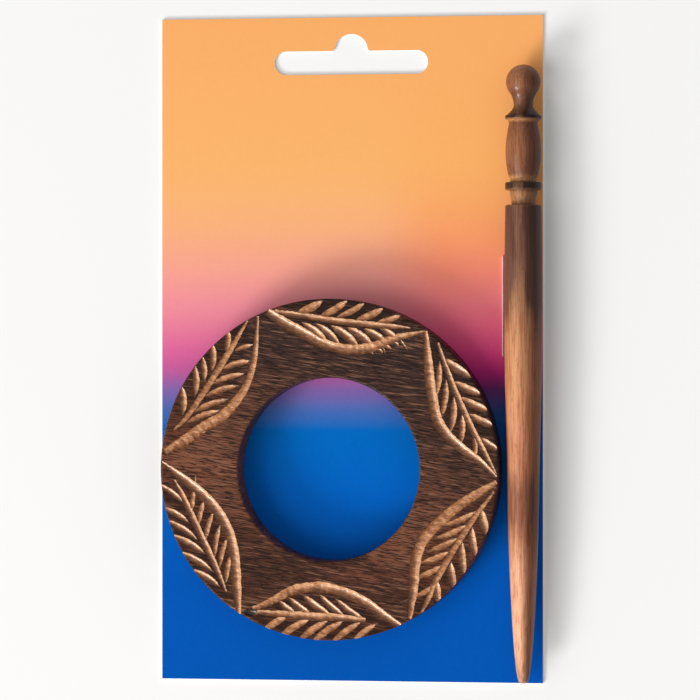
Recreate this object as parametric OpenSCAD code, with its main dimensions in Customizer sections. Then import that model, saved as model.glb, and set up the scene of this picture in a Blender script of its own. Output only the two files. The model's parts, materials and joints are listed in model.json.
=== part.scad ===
/* [Card] */
// Height of the hang card
card_h = 140; // [110:1:220]
// Thickness of the card's board
card_t = 0.5; // [0.3:0.1:2]
// Card left showing between its left edge and the ring
card_margin = 1.2; // [0:0.1:20]
// How far the stick stands out past the card's right edge
stick_overhang = 0.3; // [-20:0.05:3]
// Gap between a piece and the board or strip that it is seated on
seat_gap = 0.05; // [0.02:0.01:0.3]

/* [Hanger slot] */
// Length of the hanger slot, across the card
slot_l = 32.7; // [20:0.1:50]
// Height of the slot's straight part, and so of its round ends
slot_h = 5; // [3:0.1:8]
// Diameter of the round dome above the slot's middle
dome_d = 7.1; // [5:0.1:12]
// Card left above the dome
slot_margin = 3.5; // [2:0.1:12]

/* [Ring] */
// Outer diameter of the ring
ring_d = 71.5; // [64:0.5:100]
// Diameter of the ring's bore
bore_d = 38.4; // [20:0.1:44]
// Thickness of the ring
ring_t = 8; // [5:0.1:14]
// Radius of the ring's eased edges
ring_edge = 0.5; // [0.2:0.1:1.5]
// Card left showing below the ring
ring_foot = 9.05; // [2:0.05:30]

/* [Leaf carving] */
// Number of leaves around the ring
leaves = 6; // [5:1:9]
// Direction of the first leaf's middle, measured from the card's right
leaf_turn = 25.5; // [0:0.5:60]
// How far a leaf reaches in from the ring's rim
leaf_reach = 10.4; // [8.5:0.1:13]
// Share of its sector that a leaf spans at the rim
leaf_span = 0.96; // [0.8:0.01:1]
// Width of the groove along a leaf's edge
edge_w = 2; // [1:0.1:3]
// Depth of the groove along a leaf's edge
edge_deep = 0.9; // [0.4:0.1:2]
// How far in from the rim the leaf's rib lies, as a share of the leaf's reach
rib_place = 0.44; // [0.35:0.01:0.55]
// Width of the rib's groove
rib_w = 1.1; // [0.6:0.1:2]
// Depth of the rib's groove
rib_deep = 0.6; // [0.3:0.1:1.5]
// Number of veins between the rib and the rim
outer_veins = 5; // [2:1:7]
// Number of veins between the rib and the leaf's inner edge
inner_veins = 6; // [2:1:8]
// Angle between the rib and the veins
vein_slant = 36; // [25:1:60]
// Width of a vein at its widest
vein_w = 1.1; // [0.6:0.1:1.6]
// Depth of a vein at its deepest
vein_deep = 0.6; // [0.3:0.1:1.2]
// Wood left uncut between a vein and the groove that it comes near
vein_land = 0.3; // [0.1:0.1:1]

/* [Stick] */
// Length of the stick, from the top of its ball to its tip
stick_l = 129; // [100:1:200]
// Greatest diameter of the shaft
shaft_d = 7.9; // [5:0.1:12]
// Diameter of the shaft where its tip starts to round
tip_d = 2.2; // [1:0.1:4]
// Length of the tip's rounding
tip_l = 0.8; // [0.5:0.1:4]
// Gap between the ring's rim and the shaft
stick_gap = 0.9; // [0.5:0.05:20]
// Card left showing above the stick
stick_drop = 10.7; // [0:0.1:40]

/* [Stick head] */
// Diameter of the ball at the stick's end
ball_d = 7.25; // [6:0.05:10]
// Diameter of the neck under the ball
neck_d = 4; // [2:0.1:4.6]
// Length of the neck's hollow curve, from the ball to the upper collar
neck_l = 4.7; // [2:0.1:8]
// Diameter of the two collars
collar_d = 7.6; // [6:0.1:10]
// Thickness of the upper collar at its rim
upper_collar_t = 1; // [0.8:0.1:4]
// Length of the slope from the upper collar down to the barrel
collar_slope = 0.65; // [0.2:0.05:2]
// Diameter of the barrel at its widest
barrel_d = 7.45; // [6:0.05:10]
// Diameter of the barrel at both ends
barrel_end_d = 5.9; // [4:0.1:6]
// Length of the barrel
barrel_l = 11.45; // [6:0.05:20]
// Diameter of the small groove between the barrel and the lower collar
groove_d = 5.5; // [3:0.1:5.8]
// Length of that groove
groove_l = 0.9; // [0.4:0.1:3]
// Thickness of the lower collar
lower_collar_t = 1.7; // [0.8:0.1:4]
// Diameter of the cove where it leaves the lower collar
cove_top_d = 5.8; // [5:0.1:6]
// Least diameter of the cove, where it meets the shaft
cove_d = 5; // [3:0.1:5.5]
// Length of the cove
cove_l = 3.05; // [1:0.05:6]
// Radius of the eased edges of the collars and the shaft's shoulder
turned_edge = 0.35; // [0.1:0.05:0.4]

/* [Adhesive strip] */
// Length of the strip, along the stick
strip_l = 21.5; // [10:0.5:60]
// Width of the strip, across the stick
strip_w = 7.5; // [4:0.5:12]
// Least thickness of the strip
strip_t = 0.5; // [0.2:0.1:1.5]
// How far the strip's middle lies from the stick's axis, toward the ring
strip_aside = 1.15; // [0:0.05:3]
// Distance from the shaft's shoulder to the strip's upper end
strip_drop = 10.3; // [2:0.1:30]

/* [Hidden] */
$fn = 96;
// How far a cutter runs past the face that it opens
past = 0.4;
// Number of straight steps in each curve of the stick's outline
steps = 10;

// The card is as wide as what it carries, and its middle is the origin
card_w = card_margin + ring_d + stick_gap + shaft_d - stick_overhang;
dome_y = card_h / 2 - slot_margin - dome_d / 2;

// The ring lies on the card
ring_x = -card_w / 2 + card_margin + ring_d / 2;
ring_y = -card_h / 2 + ring_foot + ring_d / 2;
ring_z = card_t + seat_gap;

// Each leaf has its own plane: x runs clockwise along the rim, y runs outward from the bore's axis
leaf_half = leaf_span * 180 / leaves;
leaf_tip = [ring_d / 2 * sin(leaf_half), ring_d / 2 * cos(leaf_half)];
leaf_bottom = ring_d / 2 - leaf_reach;
leaf_sag = leaf_tip.y - leaf_bottom;
edge_r = (pow(leaf_tip.x, 2) + pow(leaf_sag, 2)) / (2 * leaf_sag);
edge_y = leaf_bottom + edge_r;
edge_half = asin(leaf_tip.x / edge_r) + asin(edge_w / edge_r);
rib_y = ring_d / 2 - rib_place * leaf_reach;
// The rib fills this share of the chord that the rim and the leaf's edge leave it
rib_reach = 0.86;
rim_chord = sqrt(pow(ring_d / 2, 2) - pow(rib_y, 2));
edge_chord = sqrt(pow(edge_r, 2) - pow(edge_y - rib_y, 2));
rib_half = rib_reach * min(rim_chord, edge_chord);
// Where the first and the last vein leave the rib, as shares of half its length
first_vein = -0.68;
last_vein = 0.52;
// A groove's keel. Columns: share of its length, share of its depth
keel = [[0, 0], [0.3, 1], [0.7, 1], [1, 0]];

// The ball's curve ends where it is this much wider than the neck
neck_join = 1.45;
ball_turn = acos(min(0.95, neck_join * neck_d / ball_d));
// The stick's outline runs from the top of the ball
neck_at = ball_d / 2 * (1 + sin(ball_turn));
upper_collar_at = neck_at + neck_l;
barrel_at = upper_collar_at + upper_collar_t + collar_slope;
groove_at = barrel_at + barrel_l;
lower_collar_at = groove_at + groove_l;
cove_at = lower_collar_at + lower_collar_t;
shaft_at = cove_at + cove_l;
shaft_l = stick_l - shaft_at - tip_l;
// Place of the barrel's widest point, as a share of its length
barrel_peak = 0.55;
// The neck. Columns: share of its length, share of the way out from the neck to the collar
neck_rows = [
    [0.1, 0.4], [0.22, 0.22], [0.36, 0.08], [0.5, 0.01], [0.58, 0], [0.68, 0.09], [0.8, 0.33], [0.9, 0.65],
    [1, 0.95]
];
// The cove. Columns: share of its length, share of the way out from its least radius to its top's
cove_rows = [[0, 1], [0.3, 0.88], [0.6, 0.2], [0.8, 0], [1, 0]];
// The shaft. Columns: share of its length, share of the way out from the tip to its greatest radius
shaft_rows = [
    [0.09, 0.979], [0.2, 1], [0.29, 1], [0.36, 0.972], [0.42, 0.923], [0.48, 0.868], [0.54, 0.818],
    [0.61, 0.775], [0.68, 0.725], [0.75, 0.65], [0.8, 0.58], [0.84, 0.51], [0.88, 0.43], [0.92, 0.34],
    [0.96, 0.215], [0.985, 0.115], [1, 0]
];
// The shaft's shoulder, on the same scale as the table's second column
shoulder_share = 0.94;

// The stick lies on the strip, and its head stays clear of the card
stick_x = card_w / 2 + stick_overhang - shaft_d / 2;
stick_y = card_h / 2 - stick_drop;
head_r = max(ball_d, collar_d, barrel_d) / 2;
stick_z = card_t + max(2 * seat_gap + strip_t + shaft_d / 2, seat_gap + head_r);
strip_y = stick_y - shaft_at - strip_drop - strip_l / 2;
strip_h = stick_z - shaft_d / 2 - card_t - 2 * seat_gap;

// Share of the way from one value to another
function between(from, to, share) = from + (to - from) * share;

// Points of a circle's arc, as radius and distance along the stick
function arc(middle, r, from, to) = [
    for (i = [0 : steps])
        let (turn = between(from, to, i / steps))
            middle + r * [cos(turn), sin(turn)]
];

// Rim of a collar with both of its edges eased
function collar(at, thick) =
    let (r = collar_d / 2 - turned_edge)
        concat(
            arc([r, at + turned_edge], turned_edge, -90, 0),
            arc([r, at + thick - turned_edge], turned_edge, 0, 90)
        );

// Bulge of the barrel, as radius and distance along the stick
function barrel() = [
    for (i = [0 : steps])
        let (
            share = i / steps,
            side = share < barrel_peak ? barrel_peak : 1 - barrel_peak,
            drop = pow((share - barrel_peak) / side, 2)
        )
            [between(barrel_d, barrel_end_d, drop) / 2, barrel_at + share * barrel_l]
];

// A table's rows turned into points, between two radii and along a length
function sections(rows, at, length, inner_r, outer_r) = [
    for (row = rows) [between(inner_r, outer_r, row[1]), at + row[0] * length]
];

// Eased corner of the shaft's shoulder
function shoulder() =
    let (r = between(tip_d, shaft_d, shoulder_share) / 2 - turned_edge)
        arc([r, shaft_at + turned_edge], turned_edge, -90, 0);

// Rounding of the tip, down to the stick's axis
function tip() = [
    for (i = [1 : steps])
        [tip_d / 2 * cos(90 * i / steps), stick_l - tip_l * (1 - sin(90 * i / steps))]
];

// Distance from a point inside a circle to the circle, along a direction
function run_to_circle(point, direction, middle_y, r) =
    let (
        from_middle = point - [0, middle_y],
        along = from_middle * direction
    )
        -along + sqrt(along * along - from_middle * from_middle + r * r);

// The straight slot with its round ends, and the dome over its middle
module slot_outline() {
    half = (slot_l - slot_h) / 2;
    translate([0, dome_y - slot_h / 2]) {
        square([2 * half, slot_h], center = true);
        for (side = [-1, 1])
            translate([side * half, 0])
                circle(d = slot_h);
    }
    translate([0, dome_y])
        circle(d = dome_d);
}

module card() {
    color("coral")
        linear_extrude(card_t)
            difference() {
                square([card_w, card_h], center = true);
                slot_outline();
            }
}

// Half of the ring's section, with its four edges eased
module ring_section() {
    wall = (ring_d - bore_d) / 2;
    translate([bore_d / 2 + ring_edge, 0])
        square([wall - 2 * ring_edge, ring_t]);
    translate([bore_d / 2, ring_edge])
        square([wall, ring_t - 2 * ring_edge]);
    for (x = [bore_d / 2 + ring_edge, ring_d / 2 - ring_edge], y = [ring_edge, ring_t - ring_edge])
        translate([x, y])
            circle(r = ring_edge);
}

// A straight V groove that runs out to nothing at both ends
module groove(length, width, deep) {
    lean = width / 2 / deep;
    last = len(keel) - 1;
    points = [
        for (row = keel)
            let (x = row[0] * length, down = row[1] * deep, half = lean * (down + past))
                each [[x, -half, past], [x, half, past], [x, 0, -down]]
    ];
    walls = [
        for (i = [0 : last - 1])
            let (a = 3 * i, b = a + 3)
                each [[a, a + 1, b + 1, b], [a + 2, b + 2, b + 1, a + 1], [a + 2, a, b, b + 2]]
    ];
    polyhedron(points, concat([[0, 2, 1], [3 * last, 3 * last + 1, 3 * last + 2]], walls));
}

// The curved V groove along a leaf's inner edge, which runs out over the rim
module leaf_edge() {
    lean = edge_w / 2 / edge_deep;
    half = lean * (edge_deep + past);
    translate([0, edge_y])
        rotate(-90 - edge_half)
            rotate_extrude(angle = 2 * edge_half)
                polygon([[edge_r, -edge_deep], [edge_r + half, past], [edge_r - half, past]]);
}

// One row of veins, on the rib's outer side or its inner side
module veins(count, side, middle_y, r) {
    direction = [cos(vein_slant), side * sin(vein_slant)];
    for (i = [0 : count - 1]) {
        share = between(first_vein, last_vein, i / (count - 1));
        start = [share * rib_half, rib_y + side * (rib_w / 2 + vein_land)];
        translate(start)
            rotate(side * vein_slant)
                groove(run_to_circle(start, direction, middle_y, r), vein_w, vein_deep);
    }
}

// Every groove of one leaf
module leaf() {
    leaf_edge();
    translate([-rib_half, rib_y])
        groove(2 * rib_half, rib_w, rib_deep);
    veins(outer_veins, 1, 0, ring_d / 2 + vein_land);
    veins(inner_veins, -1, edge_y, edge_r - edge_w / 2 - vein_land);
}

module ring() {
    color("saddlebrown")
        translate([ring_x, ring_y, ring_z])
            difference() {
                rotate_extrude()
                    ring_section();
                for (i = [0 : leaves - 1])
                    translate([0, 0, ring_t])
                        rotate(leaf_turn + i * 360 / leaves - 90)
                            leaf();
            }
}

module stick() {
    outline = concat(
        arc([0, ball_d / 2], ball_d / 2, -90, ball_turn),
        sections(neck_rows, neck_at, neck_l, neck_d / 2, collar_d / 2 - turned_edge),
        collar(upper_collar_at, upper_collar_t),
        barrel(),
        [[groove_d / 2, groove_at], [groove_d / 2, lower_collar_at]],
        collar(lower_collar_at, lower_collar_t),
        sections(cove_rows, cove_at, cove_l, cove_d / 2, cove_top_d / 2),
        shoulder(),
        sections(shaft_rows, shaft_at, shaft_l, tip_d / 2, shaft_d / 2),
        tip()
    );
    color("sienna")
        translate([stick_x, stick_y, stick_z])
            rotate([90, 0, 0])
                rotate_extrude()
                    polygon(outline);
}

module adhesive_strip() {
    color("mistyrose")
        translate([stick_x - strip_aside, strip_y, card_t + seat_gap + strip_h / 2])
            cube([strip_w, strip_l, strip_h], center = true);
}

card();
ring();
stick();
adhesive_strip();
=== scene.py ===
"""Looks of a carved wooden shawl ring and its turned stick, both fixed to a printed hang card."""

from __future__ import annotations

import json
import logging
import math
from dataclasses import dataclass
from enum import Enum
from typing import Iterable, Mapping, Sequence

import bmesh
import bpy
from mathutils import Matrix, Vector

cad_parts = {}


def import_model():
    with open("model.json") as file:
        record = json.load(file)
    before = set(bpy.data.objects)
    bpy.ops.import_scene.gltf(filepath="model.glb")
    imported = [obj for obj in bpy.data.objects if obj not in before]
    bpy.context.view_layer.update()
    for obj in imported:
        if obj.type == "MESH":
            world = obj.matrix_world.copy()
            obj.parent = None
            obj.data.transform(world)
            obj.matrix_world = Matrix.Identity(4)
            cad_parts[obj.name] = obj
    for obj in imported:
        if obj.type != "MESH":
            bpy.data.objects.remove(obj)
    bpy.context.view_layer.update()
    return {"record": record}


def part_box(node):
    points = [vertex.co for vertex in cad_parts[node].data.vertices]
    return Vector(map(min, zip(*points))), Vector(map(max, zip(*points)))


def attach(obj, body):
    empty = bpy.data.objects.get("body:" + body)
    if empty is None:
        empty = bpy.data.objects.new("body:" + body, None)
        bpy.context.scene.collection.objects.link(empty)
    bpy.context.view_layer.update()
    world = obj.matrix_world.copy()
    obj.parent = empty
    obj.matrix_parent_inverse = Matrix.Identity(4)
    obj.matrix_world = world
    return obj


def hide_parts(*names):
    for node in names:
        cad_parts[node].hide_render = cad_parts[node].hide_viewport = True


MM = 0.001
BODY = "root"

log = logging.getLogger("shawl_pin")

Tree = bpy.types.NodeTree
Node = bpy.types.Node
Socket = bpy.types.NodeSocket
Material = bpy.types.Material
Mesh = bpy.types.Mesh
Thing = bpy.types.Object
Point = tuple[float, float]
Row = tuple[float, float, float]
Vein = tuple[float, float, float, float, float]
Stops = Sequence[tuple[float, str]]
Feed = Mapping[str | int, object]


def linear(hex_colour: str) -> tuple[float, float, float, float]:
    """Turn an sRGB hex colour into the linear colour that a shader takes.

    Args:
        hex_colour: six hex digits, with or without a leading hash.

    Returns:
        Red, green, blue and an alpha of one.
    """
    digits = hex_colour.lstrip("#")
    channels = (int(digits[i : i + 2], 16) / 255 for i in (0, 2, 4))
    red, green, blue = (c / 12.92 if c <= 0.04045 else ((c + 0.055) / 1.055) ** 2.4 for c in channels)
    return red, green, blue, 1.0


def feed(tree: Tree, node: Node, inputs: Feed) -> None:
    """Set or link some of a node's inputs.

    Args:
        tree: the tree that the node is in.
        node: the node that takes them.
        inputs: by input name or place, a value, a socket, or a node, whose first live output is linked.
    """
    for key, value in inputs.items():
        if isinstance(value, Node):
            value = next(output for output in value.outputs if output.enabled)
        if isinstance(value, Socket):
            tree.links.new(value, node.inputs[key])
        else:
            node.inputs[key].default_value = value


def add(tree: Tree, kind: str, inputs: Feed | None = None, stops: Stops = (), **settings: object) -> Node:
    """Add one node to a tree, with its settings, its values and its links.

    Args:
        tree: the shader or geometry tree that takes the node.
        kind: Blender's own name for the kind of node.
        inputs: what its inputs take.
        stops: places and hex colours of a colour ramp.
        settings: properties of the node itself.

    Returns:
        The new node.
    """
    node = tree.nodes.new(kind)
    for name, value in settings.items():
        setattr(node, name, value)
    feed(tree, node, inputs or {})
    for i, (place, colour) in enumerate(stops):
        element = node.color_ramp.elements[i] if i < 2 else node.color_ramp.elements.new(place)
        element.position = place
        element.color = linear(colour)
    return node


def put(name: str, data: bpy.types.ID) -> Thing:
    """Put a mesh, a lamp or a camera into the scene, at the origin.

    Args:
        name: the new object's name.
        data: what it shows.

    Returns:
        The new object.
    """
    thing = bpy.data.objects.new(name, data)
    bpy.context.scene.collection.objects.link(thing)
    return thing


def arc(middle: Point, r: float, start: float, end: float, steps: int) -> list[Point]:
    """Points on an arc round a middle, between two angles in degrees, both ends with it."""
    turns = (math.radians(start + (end - start) * i / steps) for i in range(steps + 1))
    return [(middle[0] + r * math.cos(turn), middle[1] + r * math.sin(turn)) for turn in turns]


class Form:
    """A Geometry Nodes tree with named inputs, run once and frozen into a plain mesh."""

    level_from = 0.9999
    near_half = 0.3

    def __init__(self, name: str) -> None:
        """Start an empty tree.

        Args:
            name: what the tree makes.
        """
        self.tree = bpy.data.node_groups.new(name, "GeometryNodeTree")
        for way in ("INPUT", "OUTPUT"):
            self.tree.interface.new_socket("Geometry", in_out=way, socket_type="NodeSocketGeometry")
        self.base = self.tree.nodes.new("NodeGroupInput")
        self.values: dict[str, object] = {}

    def want(self, name: str, value: object) -> Socket:
        """Give the tree one named input and the value that it runs with.

        Args:
            name: the input's name.
            value: a whole number, a length or share, a vector or a material.

        Returns:
            The socket that the tree's nodes read it from.
        """
        kinds = {int: "Int", float: "Float", Vector: "Vector", Material: "Material"}
        kind = f"NodeSocket{kinds[type(value)]}"
        socket = self.tree.interface.new_socket(name, in_out="INPUT", socket_type=kind)
        self.values[socket.identifier] = value
        return self.base.outputs[name]

    def creased(self, geometry: Node, angle: float) -> Node:
        """Shade a mesh smooth, apart from its folds and the rims of its level faces.

        Args:
            geometry: the node that makes the mesh.
            angle: the turn, in degrees, past which an edge is a fold.

        Returns:
            The node that holds the shaded mesh.
        """
        tree = self.tree
        smooth = add(tree, "GeometryNodeSetShadeSmooth", {"Geometry": geometry}, domain="FACE")
        turn = add(tree, "GeometryNodeInputMeshEdgeAngle").outputs["Unsigned Angle"]
        limit = self.want("Crease", math.radians(angle))
        fold = add(tree, "FunctionNodeCompare", {0: turn, 1: limit}, operation="GREATER_THAN")
        up = add(tree, "ShaderNodeSeparateXYZ", {0: add(tree, "GeometryNodeInputNormal")}).outputs["Z"]
        level = add(tree, "FunctionNodeCompare", {0: up, 1: self.level_from}, operation="GREATER_THAN")
        mark = add(tree, "GeometryNodeFieldOnDomain", {0: level}, domain="FACE", data_type="FLOAT")
        # A rim lies between one level face and one sloping one, so the mark on it is a half.
        halved = {0: mark, 1: 0.5, "Epsilon": self.near_half}
        rim = add(tree, "FunctionNodeCompare", halved, operation="EQUAL")
        sharp = add(tree, "FunctionNodeBooleanMath", {0: fold, 1: rim}, operation="OR")
        edges = {"Geometry": smooth, "Selection": sharp, "Shade Smooth": False}
        return add(tree, "GeometryNodeSetShadeSmooth", edges, domain="EDGE")

    def freeze(self, base: Mesh, result: Node, name: str) -> Thing:
        """Run the tree on a base mesh and keep what comes out as a plain mesh.

        Args:
            base: the mesh that the tree starts from.
            result: the node that the tree ends in.
            name: the finished piece's name.

        Returns:
            The finished piece, with no modifier left on it.
        """
        add(self.tree, "NodeGroupOutput", {0: result})
        piece = put(name, base)
        modifier = piece.modifiers.new(self.tree.name, "NODES")
        modifier.node_group = self.tree
        for identifier, value in self.values.items():
            modifier[identifier] = value
        graph = bpy.context.evaluated_depsgraph_get()
        done = piece.evaluated_get(graph)
        mesh = bpy.data.meshes.new_from_object(done, preserve_all_data_layers=True, depsgraph=graph)
        piece.modifiers.remove(modifier)
        piece.data = mesh
        mesh.name = name
        return piece


@dataclass(frozen=True)
class Knot:
    """A small dead knot in the wood: its middle and half of its length, width and depth, in metres."""

    middle: Vector
    reach: Row
    dead: str = "#0D0807"


class Finish:
    """What every finish shares: a material with one shader, and patterns in real millimetres."""

    name = "finish"

    def start(self) -> tuple[Material, Tree, Node]:
        """Make the material.

        Returns:
            The material, its tree and its shader.
        """
        material = bpy.data.materials.new(self.name)
        material.use_nodes = True
        return material, material.node_tree, material.node_tree.nodes["Principled BSDF"]

    def grain(self, tree: Tree, size: Row, turn: float = 0.0, middle: Vector = Vector()) -> Node:
        """Coordinates in which one unit is one fibre, flake or pore.

        Args:
            tree: the material's tree.
            size: how long, wide and deep that is, in millimetres.
            turn: how far the pattern is turned about Z, in degrees.
            middle: the point that the pattern turns about, in metres.

        Returns:
            The node that holds the coordinates.
        """
        place = {
            "Vector": add(tree, "ShaderNodeTexCoord").outputs["Object"],
            "Location": middle,
            "Rotation": (0.0, 0.0, math.radians(turn)),
            "Scale": tuple(side * MM for side in size),
        }
        return add(tree, "ShaderNodeMapping", place, vector_type="TEXTURE")

    def pattern(
        self, tree: Tree, size: Row, start: float, full: float, to: Point = (0.0, 1.0), turn: float = 0.0,
        detail: float = 3.0,
    ) -> Node:
        """Soft noise in lumps of a real size, stretched between two limits and held there.

        Args:
            tree: the material's tree.
            size: how long, wide and deep one lump is, in millimetres.
            start: the noise at the lower limit.
            full: the noise at the upper limit.
            to: what the pattern gives at each.
            turn: how far it is turned about Z, in degrees.
            detail: how many finer layers the noise has.

        Returns:
            The node that holds the pattern.
        """
        where = self.grain(tree, size, turn)
        noise = add(tree, "ShaderNodeTexNoise", {"Vector": where, "Scale": 1.0, "Detail": detail})
        limits = {"Value": noise, "From Min": start, "From Max": full, "To Min": to[0], "To Max": to[1]}
        return add(tree, "ShaderNodeMapRange", limits, interpolation_type="SMOOTHSTEP")

    def knotted(self, tree: Tree, tone: Node, knot: Knot) -> Node:
        """Darken a tone inside a knot.

        Args:
            tree: the material's tree.
            tone: the node that holds the tone.
            knot: the knot.

        Returns:
            The node that holds the tone with the knot in it.
        """
        where = self.grain(tree, tuple(side / MM for side in knot.reach), 0.0, knot.middle)
        away = add(tree, "ShaderNodeVectorMath", {0: where}, operation="LENGTH")
        limits = {"Value": away, "From Min": 0.8, "From Max": 1.25, "To Min": 0.95, "To Max": 0.0}
        inside = add(tree, "ShaderNodeMapRange", limits, interpolation_type="SMOOTHSTEP")
        return add(tree, "ShaderNodeMix", {0: inside, 6: tone, 7: linear(knot.dead)}, data_type="RGBA")


@dataclass(frozen=True)
class StainedHardwood(Finish):
    """Open-pored hardwood under a dark brown stain, sanded and waxed.

    To the eye it is a warm brown, darker at the top and at the foot, with shade painted inside the leaves,
    full of short dark pores and paler streaks along the grain, with a low sheen and one small black knot.
    """

    middle: Vector
    knot: Knot
    turn: float = -9.0
    name: str = "stained_hardwood"
    ripple_size: Row = (12.0, 3.0, 9.0)
    figure_size: Row = (6.0, 0.32, 0.8)
    pore_size: Row = (2.4, 0.18, 0.4)
    board: Stops = (
        (0.0, "#4C2B1C"), (0.25, "#4F2C1F"), (0.34, "#7E4C35"), (0.42, "#804E38"), (0.5, "#6C422F"),
        (0.62, "#5A3729"), (0.76, "#452D26"), (1.0, "#3C2824"),
    )
    board_size: float = 72.0
    board_turn: float = -20.0
    streak: str = "#966850"
    pore: str = "#1A0F0B"
    leaf_shade: str = "#D2C4BC"
    leaf_turn: float = 25.5
    leaf_count: int = 6
    leaf_foot: float = 25.2
    leaf_bend: float = 0.0205
    leaf_fade: Point = (0.3, 1.8)

    def inside_leaf(self, tree: Tree) -> Node:
        """The share of a leaf's inside at each point: nought outside the leaves' edges, one within.

        Args:
            tree: the material's tree.

        Returns:
            The node that holds the share, which changes over a millimetre and a half.
        """
        # The depth of a pattern unit is so large that height drops out.
        flat = self.grain(tree, (1.0, 1.0, 1e9), self.leaf_turn, self.middle)
        axes = add(tree, "ShaderNodeSeparateXYZ", {0: flat}).outputs
        bearing = add(tree, "ShaderNodeMath", {0: axes["Y"], 1: axes["X"]}, operation="ARCTAN2")
        half = math.pi / self.leaf_count
        turn = add(tree, "ShaderNodeMath", {0: bearing, 1: half, 2: -half}, operation="WRAP")
        far = add(tree, "ShaderNodeVectorMath", {0: flat}, operation="LENGTH")
        sine = add(tree, "ShaderNodeMath", {0: turn}, operation="SINE")
        cosine = add(tree, "ShaderNodeMath", {0: turn}, operation="COSINE")
        along = add(tree, "ShaderNodeMath", {0: far, 1: sine}, operation="MULTIPLY")
        out = add(tree, "ShaderNodeMath", {0: far, 1: cosine}, operation="MULTIPLY")
        square = add(tree, "ShaderNodeMath", {0: along, 1: along}, operation="MULTIPLY")
        bowed = {0: square, 1: self.leaf_bend, 2: self.leaf_foot}
        edge = add(tree, "ShaderNodeMath", bowed, operation="MULTIPLY_ADD")
        within = add(tree, "ShaderNodeMath", {0: out, 1: edge}, operation="SUBTRACT")
        outer, inner = self.leaf_fade
        limits = {"Value": within, "From Min": outer, "From Max": inner}
        return add(tree, "ShaderNodeMapRange", limits, interpolation_type="SMOOTHSTEP")

    def material(self) -> Material:
        """Build the material.

        Returns:
            The material.
        """
        material, tree, shader = self.start()
        sheet = self.grain(tree, (self.board_size,) * 3, self.board_turn, self.middle)
        across = add(tree, "ShaderNodeSeparateXYZ", {0: sheet}).outputs["Y"]
        ripple = self.pattern(tree, self.ripple_size, 0.2, 0.8, (0.42, 0.58), self.turn)
        band = add(tree, "ShaderNodeMath", {0: across, 1: ripple}, operation="ADD")
        tone = add(tree, "ShaderNodeValToRGB", {"Fac": band}, self.board)
        figure = self.pattern(tree, self.figure_size, 0.5, 0.7, (0.0, 0.8), self.turn, 4.0)
        tone = add(tree, "ShaderNodeMix", {0: figure, 6: tone, 7: linear(self.streak)}, data_type="RGBA")
        # Inside the leaves, between the cuts, the wood is painted darker: painted shade.
        dim = {0: self.inside_leaf(tree), 6: tone, 7: linear(self.leaf_shade)}
        tone = add(tree, "ShaderNodeMix", dim, data_type="RGBA", blend_type="MULTIPLY")
        # Real pores are about 0.1 mm wide and would be lost, so they are drawn 0.18 mm wide.
        pores = self.pattern(tree, self.pore_size, 0.47, 0.62, (0.0, 0.92), self.turn)
        tone = add(tree, "ShaderNodeMix", {0: pores, 6: tone, 7: linear(self.pore)}, data_type="RGBA")
        rough = add(tree, "ShaderNodeMapRange", {"Value": figure, "To Min": 0.46, "To Max": 0.34})
        sunk = add(tree, "ShaderNodeMath", {0: 1.0, 1: pores}, operation="SUBTRACT")
        fine = add(tree, "ShaderNodeBump", {"Height": sunk, "Distance": 0.06 * MM})
        felt = add(tree, "ShaderNodeBump", {"Height": figure, "Distance": 0.016 * MM, "Normal": fine})
        tone = self.knotted(tree, tone, self.knot)
        feed(tree, shader, {"Base Color": tone, "Roughness": rough, "Normal": felt})
        constants = {"IOR": 1.5, "Specular IOR Level": 0.1, "Coat Weight": 0.12, "Coat Roughness": 0.12}
        feed(tree, shader, constants)
        return material


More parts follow.
